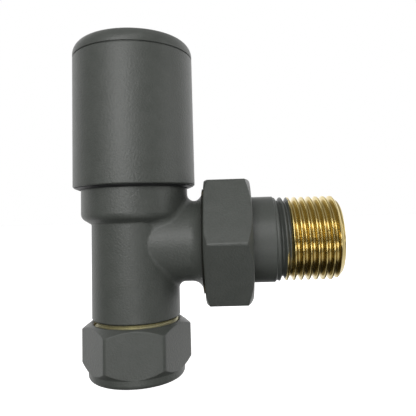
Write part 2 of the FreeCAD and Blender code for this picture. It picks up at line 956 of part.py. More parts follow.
def handwheel_insert():
    """Moulded hub that grips the spindle's square and fills the sleeve, with ribs under its plate."""
    part = new_body("handwheel_insert")
    outer = cap_bore() - dims.cap_fit
    inner = outer - dims.insert_ring_wall
    top = dims.insert_top
    plate = top - dims.insert_plate
    hub = dims.insert_hub_dia / 2
    turn(
        part,
        "outside",
        [
            (ZERO, dims.insert_hub_foot),
            (hub, dims.insert_hub_foot),
            (hub, plate),
            (inner, plate),
            (inner, dims.insert_ring_foot),
            (outer, dims.insert_ring_foot),
            (outer, top),
            (ZERO, top),
        ],
    )
    rib = new_sketch(part, "rib", "XZ_Plane")
    outline(
        rib,
        [
            (hub - dims.fit_gap, dims.insert_hub_foot),
            (inner + dims.fit_gap, dims.insert_hub_foot),
            (inner + dims.fit_gap, plate + dims.fit_gap),
            (hub - dims.fit_gap, plate + dims.fit_gap),
        ],
    )
    web = pad(part, rib, dims.rib_width)
    web.Midplane = True
    doc.recompute()
    ribs = part.newObject("PartDesign::PolarPattern", "handwheel_insert_ribs")
    ribs.Originals = [web]
    ribs.Axis = (rib, ["V_Axis"])
    ribs.Angle = 360
    ribs.Occurrences = int(dims.rib_count.number)
    part.Tip = ribs
    socket = new_sketch(part, "socket", "XY_Plane", out=dims.insert_hub_foot)
    polygon(socket, 4, (dims.square_side / 2 + dims.fit_gap) * 2**0.5, True)
    pocket(part, socket, dims.insert_top - dims.insert_hub_foot, upwards=True)
    stem = dims.stem_dia / 2 + dims.fit_gap
    square_foot = dims.square_foot + dims.fit_gap
    foot = dims.insert_hub_foot
    bore(part, "stem_recess", [(ZERO, foot), (stem, foot), (stem, square_foot), (ZERO, square_foot)])
    return part


def screw_seat():
    return dims.insert_top + dims.screw_washer


def screw_washer():
    inner = dims.screw_dia / 2 + dims.fit_gap * 2
    return ring("screw_washer", inner, dims.screw_washer_dia / 2, dims.insert_top, screw_seat())


def handwheel_screw():
    """Screw that holds the handwheel down on the spindle, under the top cap."""
    seat = screw_seat()
    end = dims.spindle_top - dims.screw_length
    head = dims.screw_head_dia / 2
    return slotted_screw(
        "handwheel_screw", dims.screw_dia / 2, end, head, seat, seat + dims.screw_head, False
    )


def cap_sleeve():
    """The plain round grip, open below over the casing's collar."""
    part = new_body("cap_sleeve")
    outer = dims.cap_dia / 2
    inner = cap_bore()
    foot = dims.cap_foot
    top = dims.cap_split
    turn(part, "tube", [(inner, foot), (outer, foot), (outer, top), (inner, top)])
    rims = (ring_at(outer, foot), ring_at(outer, top))
    fillet(part, "rims", dims.cap_rim_round, lambda edge: any(rim(edge) for rim in rims))
    return part


def cap_top():
    """The snap-in lid that hides the handwheel's screw, rounded over at its edge."""
    part = new_body("cap_top")
    outer = dims.cap_dia / 2
    spigot = cap_bore() - dims.cap_fit
    spigot_bore = spigot - dims.spigot_wall
    foot = dims.cap_split + dims.cap_groove
    ceiling = dims.cap_top - dims.plate_thickness
    spigot_foot = dims.insert_top + dims.fit_gap
    turn(
        part,
        "lid",
        [
            (ZERO, ceiling),
            (spigot_bore, ceiling),
            (spigot_bore, spigot_foot),
            (spigot, spigot_foot),
            (spigot, foot),
            (outer, foot),
            (outer, dims.cap_top),
            (ZERO, dims.cap_top),
        ],
    )
    fillet(part, "edge_round", dims.cap_round, ring_at(outer, dims.cap_top))
    return part


# ---- document ----------------------------------------------------------------------------------------------

PIECES = (
    body,
    compression_nut,
    olive,
    union_nut,
    union_tail,
    union_seal,
    bonnet,
    bonnet_seal,
    spindle_o_ring,
    gland_packing,
    gland_washer,
    gland_nut,
    spindle,
    disc_holder,
    valve_washer,
    washer_screw,
    handwheel_insert,
    screw_washer,
    handwheel_screw,
    cap_sleeve,
    cap_top,
)

parts = [make() for make in PIECES]
doc.recompute()

for item in doc.Objects:
    if "Invalid" in item.State or "Error" in item.State:
        raise RuntimeError(f"{item.Label} failed: {item.State}")
for part in parts:
    if part.Shape.isNull() or not part.Shape.isValid() or not part.Shape.Solids:
        raise RuntimeError(f"{part.Label} has no valid solid")

os.makedirs("parts", exist_ok=True)
for part in parts:
    part.Shape.exportStep(f"parts/{part.Label}.step")
    print(f"{part.Label}: {len(part.Shape.Solids)} solid, {part.Shape.Volume:.1f} mm3")
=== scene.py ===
"""Fine shapes, finishes and a plain studio for an angle radiator valve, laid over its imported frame.

Sizes in the classes are millimetres in the frame's own axes: +Z up the spindle from the pipe's mouth, +X out
along the union tail. Meshes are made in metres.
"""

import logging
import math
from collections.abc import Callable, Sequence
from dataclasses import dataclass
from enum import Enum

import bmesh
import bpy
from bmesh.types import BMesh
from bpy.types import ID, Material, Node, NodeSocket, NodeTree, Object
from mathutils import Matrix, Vector

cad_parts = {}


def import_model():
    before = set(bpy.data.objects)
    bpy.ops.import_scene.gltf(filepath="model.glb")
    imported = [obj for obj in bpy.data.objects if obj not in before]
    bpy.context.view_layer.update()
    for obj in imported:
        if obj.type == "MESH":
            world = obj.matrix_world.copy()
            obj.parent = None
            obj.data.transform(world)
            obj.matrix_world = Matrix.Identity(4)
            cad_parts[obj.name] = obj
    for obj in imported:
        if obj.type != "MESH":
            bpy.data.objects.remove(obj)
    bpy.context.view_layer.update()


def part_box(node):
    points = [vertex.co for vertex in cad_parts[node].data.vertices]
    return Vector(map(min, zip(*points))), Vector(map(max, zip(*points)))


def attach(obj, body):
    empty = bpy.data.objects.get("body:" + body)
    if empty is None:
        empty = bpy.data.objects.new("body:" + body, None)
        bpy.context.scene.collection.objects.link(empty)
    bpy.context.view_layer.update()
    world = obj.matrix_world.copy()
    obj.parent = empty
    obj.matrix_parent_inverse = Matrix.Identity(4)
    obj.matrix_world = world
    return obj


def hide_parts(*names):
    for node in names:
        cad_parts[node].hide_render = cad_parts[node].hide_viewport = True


log = logging.getLogger("valve")

MM = 0.001
MERGE = 1e-6  # metres between points that are taken as one
TINY = 1e-6  # a length that is taken as nothing
TURN = 2 * math.pi
SIXTH = 60.0  # degrees from one flat of a hexagon to the next
SIDES = 144  # round a turned piece
SHARP = math.radians(32)  # edges that turn by more than this stay hard
WHITE = (1.0, 1.0, 1.0, 1.0)

# Roundings of edges in millimetres, from a deburred one to one that is eased by hand.
CRISP, FINE, LIGHT, SOFT, EASED, BLUNT, ROUND, FULL = 0.05, 0.1, 0.15, 0.2, 0.25, 0.3, 0.4, 0.5

Point = tuple[float, float]
Value = float | int | str | bool | tuple | NodeSocket


class Body(Enum):
    """The frame's rigid bodies that the pieces made here ride on."""

    CASING = "casing"
    HANDWHEEL = "handwheel"
    INLET_NUT = "inlet_nut"
    TAIL = "tail"
    UNION = "union"


class Slot(Enum):
    """The record's material slots."""

    GRIP_LINING = "insert_black"
    COATED_BRASS = "coated_brass"
    COATED_GRIP = "coated_grip"
    TAIL_BRASS = "tail_brass"


def add_object(name: str, data: ID) -> Object:
    """Puts a new object in the scene.

    Args:
        name: The object's name.
        data: Its mesh, light or camera.

    Returns:
        The object.
    """
    made = bpy.data.objects.new(name, data)
    bpy.context.scene.collection.objects.link(made)
    return made


def linear(colour: str) -> tuple[float, float, float, float]:
    """Turns an sRGB hex colour to linear RGBA.

    Args:
        colour: Six hex digits after a hash.

    Returns:
        Linear red, green and blue, and an alpha of 1.
    """
    shares = [int(colour[i : i + 2], 16) / 255 for i in (1, 3, 5)]
    red, green, blue = (c / 12.92 if c <= 0.04045 else ((c + 0.055) / 1.055) ** 2.4 for c in shares)
    return (red, green, blue, 1.0)


def add_node(tree: NodeTree, kind: str, feeds: dict[int | str, Value] | None = None, **settings: Value) -> Node:
    """Adds a node to a tree, with its settings, constant inputs and links.

    Args:
        tree: The tree that gets the node.
        kind: The node's type name.
        feeds: Input name or index to a constant, or to the output socket that feeds it.
        **settings: Properties of the node itself.

    Returns:
        The new node.
    """
    node = tree.nodes.new(kind)
    for name, value in settings.items():
        setattr(node, name, value)
    for key, value in (feeds or {}).items():
        if isinstance(value, NodeSocket):
            tree.links.new(value, node.inputs[key])
        else:
            node.inputs[key].default_value = value
    return node


def add_sums(tree: NodeTree, known: dict[str, Value], sums: Sequence[tuple]) -> None:
    """Works out named values with Math nodes, each from values named before it.

    Args:
        tree: The tree that gets the nodes.
        known: Named values, which the results are added to.
        sums: Rows of result name, operation, and one to three names or numbers.
    """
    for name, operation, *terms in sums:
        feeds = {place: known[term] if isinstance(term, str) else term for place, term in enumerate(terms)}
        known[name] = add_node(tree, "ShaderNodeMath", feeds, operation=operation).outputs[0]


def add_noise(
    tree: NodeTree, place: NodeSocket, size_mm: float, detail: float, roughness: float = 0.5
) -> NodeSocket:
    """Adds a noise with features of a real size.

    Args:
        tree: The tree that gets the node.
        place: Where the noise is looked up, in metres.
        size_mm: Size of its largest features.
        detail: How many finer layers lie over them.
        roughness: How strong the finer layers are.

    Returns:
        The noise, about 0 to 1.
    """
    feeds = {"Vector": place, "Scale": 1 / (size_mm * MM), "Detail": detail, "Roughness": roughness}
    return add_node(tree, "ShaderNodeTexNoise", feeds).outputs["Fac"]


def mix_colours(tree: NodeTree, share: Value, first: Value, second: Value) -> NodeSocket:
    """Adds a mix of two colours.

    Args:
        tree: The tree that gets the node.
        share: How much of the second colour there is, 0 to 1.
        first: The first colour.
        second: The second colour.

    Returns:
        The mixed colour.
    """
    return add_node(tree, "ShaderNodeMix", {0: share, 6: first, 7: second}, data_type="RGBA").outputs[2]


# ---- finishes ----


GRAIN = (2.0, 0.6)  # every grain's detail, and the strength of its finer layers


@dataclass(frozen=True)
class Finish:
    """A surface of one stuff: two close tones, a grain that dents it, and a roughness that drifts."""

    name: str
    tone: str
    second_tone: str
    roughness: float
    metallic: float = 0.0
    ior: float = 1.5
    drift: float = 0.04  # how far roughness strays
    mottle_mm: float = 3.0
    grain_mm: float = 0.4
    grain_depth_mm: float = 0.01
    stretch: tuple[float, float, float] = (1.0, 1.0, 1.0)  # the grain's frequency along each axis
    edge_mm: float = 0.0  # softening of hard edges
    glow: float = 0.0  # light given off, as from paper lit from behind
    fleck: float = 0.7  # how much the grain shifts the tone

    def start(self) -> tuple[Material, dict[str, Value]]:
        """Makes the material and the patterns that every finish has.

        Returns:
            The material, and its named sockets: place, mottle, colour, rough and normal.
        """
        material = bpy.data.materials.new(self.name)
        material.use_nodes = True
        tree = material.node_tree
        tree.nodes.clear()
        place = add_node(tree, "ShaderNodeTexCoord").outputs["Object"]
        mottle = add_noise(tree, place, self.mottle_mm, 3.0)
        stretched = add_node(tree, "ShaderNodeMapping", {"Vector": place, "Scale": self.stretch}).outputs[0]
        grain = add_noise(tree, stretched, self.grain_mm, *GRAIN)
        known = {"place": place, "mottle": mottle, "grain": grain}
        add_sums(tree, known, [
            ("blend", "MULTIPLY_ADD", "grain", self.fleck, -self.fleck / 2),
            ("tones", "ADD", "blend", "mottle"),
            ("rough", "MULTIPLY_ADD", "mottle", 2 * self.drift, self.roughness - self.drift),
        ])
        known["colour"] = mix_colours(tree, known["tones"], linear(self.tone), linear(self.second_tone))
        bump = {"Height": grain, "Strength": 1.0, "Distance": self.grain_depth_mm * MM}
        if self.edge_mm:
            bump["Normal"] = add_node(tree, "ShaderNodeBevel", {"Radius": self.edge_mm * MM}, samples=4).outputs[0]
        known["normal"] = add_node(tree, "ShaderNodeBump", bump).outputs[0]
        return material, known

    def close(self, material: Material, known: dict[str, Value], metallic: Value) -> Material:
        """Joins the patterns to one shader.

        Args:
            material: The material to finish.
            known: Its named sockets.
            metallic: A number, or a socket where it differs over the surface.

        Returns:
            The same material.
        """
        tree = material.node_tree
        feeds = {
            "Base Color": known["colour"],
            "Roughness": known["rough"],
            "Normal": known["normal"],
            "Metallic": metallic,
            "IOR": self.ior,
            "Emission Color": WHITE,
            "Emission Strength": self.glow,
        }
        shader = add_node(tree, "ShaderNodeBsdfPrincipled", feeds)
        add_node(tree, "ShaderNodeOutputMaterial", {"Surface": shader.outputs[0]})
        return material

    def make(self) -> Material:
        """Makes the finish's material, or returns the one already made."""
        found = bpy.data.materials.get(self.name)
        if found:
            return found
        material, known = self.start()
        return self.close(material, known, self.metallic)


# Real grains are 0.02 to 0.2 mm across, too fine to show from here, so every grain below is drawn coarser.

# Fine-textured polyester powder coat: dull, slightly green anthracite with a sparkle of tiny bumps that catch
# the light, and soft edges where the powder has flowed over the metal.
COAT = Finish("anthracite_powder_coat", "#434642", "#50534F", 0.42, drift=0.05, grain_mm=0.5, grain_depth_mm=0.085,
              edge_mm=0.22)

# Turned CW614N brass, bare: warm yellow with fine tool marks round the axis and small sharp glints.
TURNED_BRASS = Finish("turned_brass_bare", "#D4C287", "#BFA968", 0.26, metallic=1.0, drift=0.06, grain_mm=0.5,
                      grain_depth_mm=0.006, stretch=(1.0, 1.0, 6.0))

# Forged brass machined inside, seen down the bores: a little duller than a turned outside.
BORED_BRASS = Finish("bored_brass", "#C4AE6C", "#AD9656", 0.36, metallic=1.0, drift=0.06, grain_mm=0.6,
                     grain_depth_mm=0.008)

# Brass thread dusted with overspray: dull, greyish straw, without a mirror's glints.
DUSTED_BRASS = Finish("dusted_brass", "#C4BF9E", "#A7A283", 0.5, metallic=0.75, drift=0.08, mottle_mm=2.0, grain_mm=0.5,
                      grain_depth_mm=0.02)

# Moulded black nitrile: soft sheen, nearly black, very fine grain from the mould.
NITRILE = Finish("black_nitrile_rubber", "#17181A", "#202124", 0.52, grain_mm=0.3, grain_depth_mm=0.004)

# EPDM disc washer: dark brownish black, flatter than the O-rings.
WASHER_RUBBER = Finish("dark_epdm_rubber", "#241F1C", "#302A26", 0.68, grain_mm=0.35, grain_depth_mm=0.008)

# Pressed vulcanised fibre: dull brick red with flecks of fibre.
FIBRE = Finish("red_vulcanised_fibre", "#8E3326", "#A4493A", 0.72, mottle_mm=0.9, grain_mm=0.3, grain_depth_mm=0.015)

# Sintered PTFE packing: milky white, waxy.
PACKING = Finish("white_ptfe_packing", "#E9E8E2", "#DEDCD4", 0.42, ior=1.4, grain_mm=0.6, grain_depth_mm=0.006)

# Injection-moulded black nylon: spark-eroded mould texture, satin.
NYLON = Finish("black_moulded_nylon", "#1B1C1D", "#252628", 0.48, grain_mm=0.35, grain_depth_mm=0.012, edge_mm=0.15)

# Bright zinc plate on steel: cool pale metal, faint cloudiness.
ZINC = Finish("zinc_plated_steel", "#C9CCCE", "#B4B8BB", 0.28, metallic=1.0, mottle_mm=1.5, grain_mm=0.4,
              grain_depth_mm=0.004)


@dataclass(frozen=True)
class CoatedThread(Finish):
    """Bare turned brass that the coat covers up to a slanting, slightly ragged edge near the collar."""

    coat: Finish = COAT
    axis_height: float = 32.6
    edge_at: float = 37.9  # where the coat ends, level with the axis
    edge_slant: float = 0.07  # how much further it reaches per millimetre up
    ragged: float = 1.4
    clinging: float = 0.9  # how much further it reaches in the roots than on the crests, per millimetre
    crest: float = 10.4775
    sharpness: float = 4000.0  # how fast coat gives way to brass, per metre
    speck_strength: float = 0.6
    speck_depth_mm: float = 0.015

    def make(self) -> Material:
        """Makes the two-part material."""
        material, known = self.start()
        tree = material.node_tree
        parts = add_node(tree, "ShaderNodeSeparateXYZ", {0: known["place"]})
        known |= {"x": parts.outputs[0], "y": parts.outputs[1], "z": parts.outputs[2]}
        known["specks"] = add_noise(tree, known["place"], self.coat.grain_mm, *GRAIN)
        add_sums(tree, known, [
            ("up", "SUBTRACT", "z", self.axis_height * MM),
            ("up2", "MULTIPLY", "up", "up"),
            ("out2", "MULTIPLY_ADD", "y", "y", "up2"),
            ("out", "SQRT", "out2"),
            ("cling", "MULTIPLY_ADD", "out", self.clinging, (-self.clinging * self.crest - self.edge_at) * MM),
            ("past", "ADD", "x", "cling"),
            ("slant", "MULTIPLY_ADD", "up", -self.edge_slant, "past"),
            ("wander", "MULTIPLY_ADD", "mottle", self.ragged * MM, "slant"),
            ("sharp", "MULTIPLY_ADD", "wander", self.sharpness, -0.5 * self.ragged * MM * self.sharpness),
            ("bare", "ADD", "sharp", 0.5),
            ("coat_rough", "MULTIPLY_ADD", "mottle", 2 * self.coat.drift, self.coat.roughness - self.coat.drift),
        ])
        clamp = add_node(tree, "ShaderNodeClamp", {"Value": known["bare"]}).outputs[0]
        coat_colour = mix_colours(tree, known["specks"], linear(self.coat.tone), linear(self.coat.second_tone))
        known["colour"] = mix_colours(tree, clamp, coat_colour, known["colour"])
        known["rough"] = add_node(
            tree, "ShaderNodeMix", {0: clamp, 2: known["coat_rough"], 3: known["rough"]}, data_type="FLOAT"
        ).outputs[0]
        bump = {
            "Height": known["specks"],
            "Strength": self.speck_strength,
            "Distance": self.speck_depth_mm * MM,
            "Normal": known["normal"],
        }
        known["normal"] = add_node(tree, "ShaderNodeBump", bump).outputs[0]
        return self.close(material, known, clamp)


# The tail as sold: coated collar and first threads, then bare brass where it goes into the radiator.
TAIL_BRASS = CoatedThread("coated_and_bare_brass", "#D4C287", "#BFA968", 0.22, metallic=1.0, drift=0.06, grain_mm=0.5,
                          grain_depth_mm=0.006, stretch=(6.0, 1.0, 1.0))


# ---- shapes ----


@dataclass(frozen=True)
class Corner:
    """A corner of a turned outline: distance from the axis, place along it, and rounding."""

    reach: float
    along: float
    rounding: float = 0.0
    steps: int = 4


def round_off(corners: Sequence[Corner], closed: bool) -> list[Point]:
    """Rounds an outline's corners.

    Args:
        corners: The outline's corners in order.
        closed: Whether the last corner joins the first. The ends of an open outline stay as they are.

    Returns:
        Points along the outline, as many for every outline with the same corners' steps.
    """
    points: list[Point] = []
    last = len(corners) - 1
    for index, corner in enumerate(corners):
        if not corner.rounding or (not closed and index in (0, last)):
            points.append((corner.reach, corner.along))
            continue
        here = Vector((corner.reach, corner.along))
        setback = math.inf
        arms = []
        for other in (corners[index - 1], corners[0 if index == last else index + 1]):
            arm = Vector((other.reach, other.along)) - here
            share = corner.rounding / (corner.rounding + other.rounding)
            setback = min(setback, arm.length * share)
            arms.append(arm)
        inward = arms[0].normalized() + arms[1].normalized()
        if min(setback, inward.length) < TINY:
            # there is nothing to round, but every outline has to have as many points
            points.extend([(corner.reach, corner.along)] * (corner.steps + 1))
            continue
        half = arms[0].angle(arms[1]) / 2
        setback = min(setback, corner.rounding / math.tan(half))
        starts = [here + arm.normalized() * setback for arm in arms]
        centre = here + inward.normalized() * (setback / math.cos(half))
        spokes = [start - centre for start in starts]
        angles = [math.atan2(spoke.y, spoke.x) for spoke in spokes]
        sweep = (angles[1] - angles[0] + math.pi) % TURN - math.pi
        radius = spokes[0].length
        for step in range(corner.steps + 1):
            angle = angles[0] + sweep * step / corner.steps
            points.append((centre.x + radius * math.cos(angle), centre.y + radius * math.sin(angle)))
    return points


@dataclass(frozen=True)
class Hexagon:
    """A hexagon with rounded corners, the first of them at an angle in degrees."""

    across: float
    corner_round: float
    first_corner: float = 0.0

    STOPS = (5.0, 10.0, 15.0, 20.0, 24.0)  # degrees from a flat's middle
    CORNER_STEPS = 5

    def corner_arm(self) -> float:
        """The distance from the axis to the middle of a corner's rounding."""
        return (self.across / 2 - self.corner_round) / math.cos(math.radians(SIXTH / 2))

    def tangent(self) -> float:
        """The angle, in degrees from a flat's middle, where its corner's rounding begins."""
        arm = self.corner_arm()
        return math.degrees(math.atan2(arm / 2, self.across / 2))

    def reach(self, angle: float) -> float:
        """Finds how far the side is from the axis.

        Args:
            angle: Direction in radians.

        Returns:
            The distance in millimetres.
        """
        flat = self.across / 2
        from_flat = abs((math.degrees(angle) - self.first_corner) % SIXTH - SIXTH / 2)
        if from_flat <= self.tangent():
            return flat / math.cos(math.radians(from_flat))
        arm = self.corner_arm()
        away = math.radians(SIXTH / 2 - from_flat)
        return arm * math.cos(away) + math.sqrt(self.corner_round**2 - (arm * math.sin(away)) ** 2)

    def angles(self) -> list[float]:
        """Directions round the hexagon, in radians, close together where its corners turn."""
        tangent, corner = self.tangent(), SIXTH / 2
        turning = [tangent + (corner - tangent) * step / self.CORNER_STEPS for step in range(self.CORNER_STEPS)]
        half = [*self.STOPS, *turning]
        stops = [-stop for stop in reversed(half)] + [0.0] + half + [corner]
        flats = [self.first_corner + corner + SIXTH * flat for flat in range(6)]
        return [math.radians(flat + stop) for flat in flats for stop in stops]


def loft(
    outline: Callable[[float], Sequence[Corner]], angles: Sequence[float] | None = None, closed: bool = True
) -> BMesh:
    """Turns an outline about the axis, where the outline may change with the angle.

    Args:
        outline: Gives the corners at an angle.
        angles: Directions round the axis, or None for even ones.
        closed: Whether the outline closes on itself.

    Returns:
        The surface in metres, its axis along Z.
    """
    mesh = bmesh.new()
    columns = []
    for angle in angles or [TURN * side / SIDES for side in range(SIDES)]:
        points = round_off(outline(angle), closed)
        columns.append(
            [
                mesh.verts.new((reach * math.cos(angle) * MM, reach * math.sin(angle) * MM, along * MM))
                for reach, along in points
            ]
        )
    rows = len(columns[0])
    for left, right in zip(columns, columns[1:] + columns[:1]):
        for row in range(rows if closed else rows - 1):
            above = (row + 1) % rows
            mesh.faces.new((left[row], right[row], right[above], left[above]))
    return mesh


def seal_up(mesh: BMesh) -> None:
    """Merges a mesh's seams and poles, drops what has no area and points its faces outwards.

    Args:
        mesh: The surface, changed in place.
    """
    bmesh.ops.remove_doubles(mesh, verts=mesh.verts, dist=MERGE)
    bmesh.ops.dissolve_degenerate(mesh, edges=mesh.edges, dist=MERGE / 2)
    bmesh.ops.recalc_face_normals(mesh, faces=mesh.faces)


def turn(corners: Sequence[Corner]) -> BMesh:
    """Turns one closed outline all the way round.

    Args:
        corners: The outline's corners.

    Returns:
        The sealed surface in metres, its axis along Z.
    """
    mesh = loft(lambda angle: corners)
    seal_up(mesh)
    return mesh


def mark_bare(mesh: BMesh, radius: float, low: float = -math.inf, high: float = math.inf) -> None:
    """Gives the faces within a radius of the axis, and between two places along it, the second finish.

    Args:
        mesh: The surface, its axis along Z.
        radius: How far from the axis they reach.
        low: The lower place.
        high: The upper place.
    """
    for face in mesh.faces:
        middle = face.calc_center_median() / MM
        inside = math.hypot(middle.x, middle.y) < radius and low < middle.z < high
        face.material_index = 1 if inside else 0


def weigh_normals(made: Object) -> None:
    """Lets large faces steer the shading, so that a long wall looks straight up to its rounded ends.

    Args:
        made: The object, whose mesh is replaced.
    """
    made.modifiers.new("weighted_normals", "WEIGHTED_NORMAL").keep_sharp = True
    drawn = made.evaluated_get(bpy.context.evaluated_depsgraph_get())
    plain = bpy.data.meshes.new_from_object(drawn)
    made.modifiers.clear()
    rough = made.data
    made.data = plain
    bpy.data.meshes.remove(rough)
    plain.name = made.name


class Axis(Enum):
    """The lines that turned pieces are made about."""

    SPINDLE = "spindle"
    INLET = "inlet"
    TAIL = "tail"

    def matrix(self) -> Matrix:
        """Moves a piece made along Z onto the line: up from the pipe's mouth, down from it, or out to the side."""
        if self is Axis.INLET:
            return Matrix.Rotation(math.pi, 4, "X")
        if self is Axis.TAIL:
            low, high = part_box("union_nut")
            return Matrix.Translation((0, 0, (low.z + high.z) / 2)) @ Matrix.Rotation(math.pi / 2, 4, "Y")
        return Matrix.Identity(4)


@dataclass(frozen=True)
class Piece:
    """A finished piece's name and place in the frame."""

    name: str
    body: Body
    slot: Slot
    nodes: tuple[str, ...]

    def place(self, mesh: BMesh, axis: Axis, finishes: Sequence[Finish]) -> Object:
        """Makes the piece's object and ties it to the frame.

        Args:
            mesh: Its surface, which is used up.
            axis: The line it was made about.
            finishes: Its materials, in the order of the faces' numbers.

        Returns:
            The object.
        """
        mesh.transform(axis.matrix())
        data = bpy.data.meshes.new(self.name)
        mesh.to_mesh(data)
        mesh.free()
        data.shade_smooth()
        data.set_sharp_from_angle(angle=SHARP)
        for finish in finishes:
            data.materials.append(finish.make())
        made = add_object(self.name, data)
        weigh_normals(made)
        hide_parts(*self.nodes)
        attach(made, self.body.value)
        log.info("%s: %d faces on %s", self.name, len(made.data.polygons), self.body.value)
        return made


# ---- screw thread ----


@dataclass(frozen=True)
class Thread:
    """An outside pipe thread: one helical strip, wound by Geometry Nodes from a grid."""

    crest: float
    start: float
    end: float
    chamfer: float
    pitch: float = 1.8143
    depth: float = 1.162
    lead_in: float = 1.3  # length over which the groove deepens from the start

    TREE = "helical_thread"
    ROWS = 15  # points across one groove
    STEEPNESS = 1.2  # above 1, it leaves a flat on the crest and in the root

    def tree(self) -> NodeTree:
        """Builds the strip's node tree, or returns the one already built."""
        found = bpy.data.node_groups.get(self.TREE)
        if found:
            return found
        tree = bpy.data.node_groups.new(self.TREE, "GeometryNodeTree")
        face = tree.interface
        face.new_socket("Geometry", in_out="OUTPUT", socket_type="NodeSocketGeometry")
        for name in ("Crest Radius", "Depth", "Pitch", "Start", "End", "Chamfer", "Lead In"):
            face.new_socket(name, in_out="INPUT", socket_type="NodeSocketFloat")
        for name in ("Turns", "Sides", "Rows"):
            face.new_socket(name, in_out="INPUT", socket_type="NodeSocketInt")
        face.new_socket("Material", in_out="INPUT", socket_type="NodeSocketMaterial")
        given = add_node(tree, "NodeGroupInput").outputs
        known: dict[str, Value] = {socket.name: socket for socket in given if socket.name}
        add_sums(tree, known, [("spans", "MULTIPLY", "Turns", "Sides"), ("across", "ADD", "spans", 1.0)])
        grid = add_node(
            tree,
            "GeometryNodeMeshGrid",
            {"Size X": 1.0, "Size Y": 1.0, "Vertices X": known["across"], "Vertices Y": known["Rows"]},
        ).outputs["Mesh"]
        spot = add_node(tree, "GeometryNodeInputPosition").outputs[0]
        parts = add_node(tree, "ShaderNodeSeparateXYZ", {0: spot})
        known |= {"u": parts.outputs[0], "v": parts.outputs[1]}
        add_sums(tree, known, [
            ("wound", "ADD", "u", 0.5),
            ("turn", "MULTIPLY", "wound", "Turns"),
            ("angle", "MULTIPLY", "turn", TURN),
            # along the axis: one pitch a turn, from one pitch before the start, held between the two ends
            ("share", "ADD", "v", -0.5),
            ("pitches", "ADD", "turn", "share"),
            ("free", "MULTIPLY_ADD", "pitches", "Pitch", "Start"),
            ("above", "MAXIMUM", "free", "Start"),
            ("along", "MINIMUM", "above", "End"),
            # height above the root: a ridge in the middle of the strip with a rounded crest and root
            ("side", "ABSOLUTE", "v"),
            ("ridge", "MULTIPLY_ADD", "side", -2.0, 1.0),
            ("steep", "MULTIPLY_ADD", "ridge", self.STEEPNESS, (1 - self.STEEPNESS) / 2),
            ("low", "MAXIMUM", "steep", 0.0),
            ("held", "MINIMUM", "low", 1.0),
            ("square", "MULTIPLY", "held", "held"),
            ("slope", "MULTIPLY_ADD", "held", -2.0, 3.0),
            ("height", "MULTIPLY", "square", "slope"),
            # the groove deepens over the lead-in and the end is chamfered
            ("hollow", "SUBTRACT", 1.0, "height"),
            ("into", "SUBTRACT", "along", "Start"),
            ("led", "DIVIDE", "into", "Lead In"),
            ("fade", "MINIMUM", "led", 1.0),
            ("cut", "MULTIPLY", "hollow", "fade"),
            ("sunk", "MULTIPLY", "cut", "Depth"),
            ("plain", "SUBTRACT", "Crest Radius", "sunk"),
            ("left", "SUBTRACT", "End", "along"),
            ("cone", "ADD", "left", "Crest Radius"),
            ("limit", "SUBTRACT", "cone", "Chamfer"),
            ("radius", "MINIMUM", "plain", "limit"),
            ("cosine", "COSINE", "angle"),
            ("sine", "SINE", "angle"),
            ("x", "MULTIPLY", "radius", "cosine"),
            ("y", "MULTIPLY", "radius", "sine"),
        ])
        moved = add_node(tree, "ShaderNodeCombineXYZ", {0: known["x"], 1: known["y"], 2: known["along"]}).outputs[0]
        wound = add_node(tree, "GeometryNodeSetPosition", {"Geometry": grid, "Position": moved}).outputs[0]
        joined = add_node(tree, "GeometryNodeMergeByDistance", {"Geometry": wound, "Distance": MERGE}).outputs[0]
        solid = add_node(tree, "GeometryNodeRealizeInstances", {"Geometry": joined}).outputs[0]
        dressed = add_node(tree, "GeometryNodeSetMaterial", {"Geometry": solid, "Material": known["Material"]})
        add_node(tree, "NodeGroupOutput", {0: dressed.outputs[0]})
        return tree

    def wind(self, finish: Finish) -> BMesh:
        """Winds the strip and takes it as a plain mesh.

        Args:
            finish: What the thread is made of.

        Returns:
            The threaded surface in metres, its axis along Z, open at its two rings.
        """
        tree = self.tree()
        sizes: dict[str, Value] = {
            "Crest Radius": self.crest * MM,
            "Depth": self.depth * MM,
            "Pitch": self.pitch * MM,
            "Start": self.start * MM,
            "End": self.end * MM,
            "Chamfer": self.chamfer * MM,
            "Lead In": self.lead_in * MM,
            "Turns": math.ceil((self.end - self.start) / self.pitch) + 1,
            "Sides": SIDES,
            "Rows": self.ROWS,
            "Material": finish.make(),
        }
        holder = add_object("thread_holder", bpy.data.meshes.new("thread_holder"))
        modifier = holder.modifiers.new("thread", "NODES")
        modifier.node_group = tree
        for item in tree.interface.items_tree:
            if item.in_out == "INPUT":
                modifier[item.identifier] = sizes[item.name]
        graph = bpy.context.evaluated_depsgraph_get()
        data = bpy.data.meshes.new_from_object(holder.evaluated_get(graph))
        holder.modifiers.remove(modifier)
        bpy.data.objects.remove(holder)
        mesh = bmesh.new()
        mesh.from_mesh(data)
        bpy.data.meshes.remove(data)
        for face in mesh.faces:
            face.material_index = 0
        return mesh


def join(first: BMesh, second: BMesh) -> BMesh:
    """Adds one mesh to another, merges the rings where they meet and closes the whole.

    Args:
        first: The mesh that is added to.
        second: The other, which is used up.

    Returns:
        The first mesh.
    """
    data = bpy.data.meshes.new("joined")
    second.to_mesh(data)
    second.free()
    first.from_mesh(data)
    bpy.data.meshes.remove(data)
    seal_up(first)
    return first


# ---- sub-assemblies ----


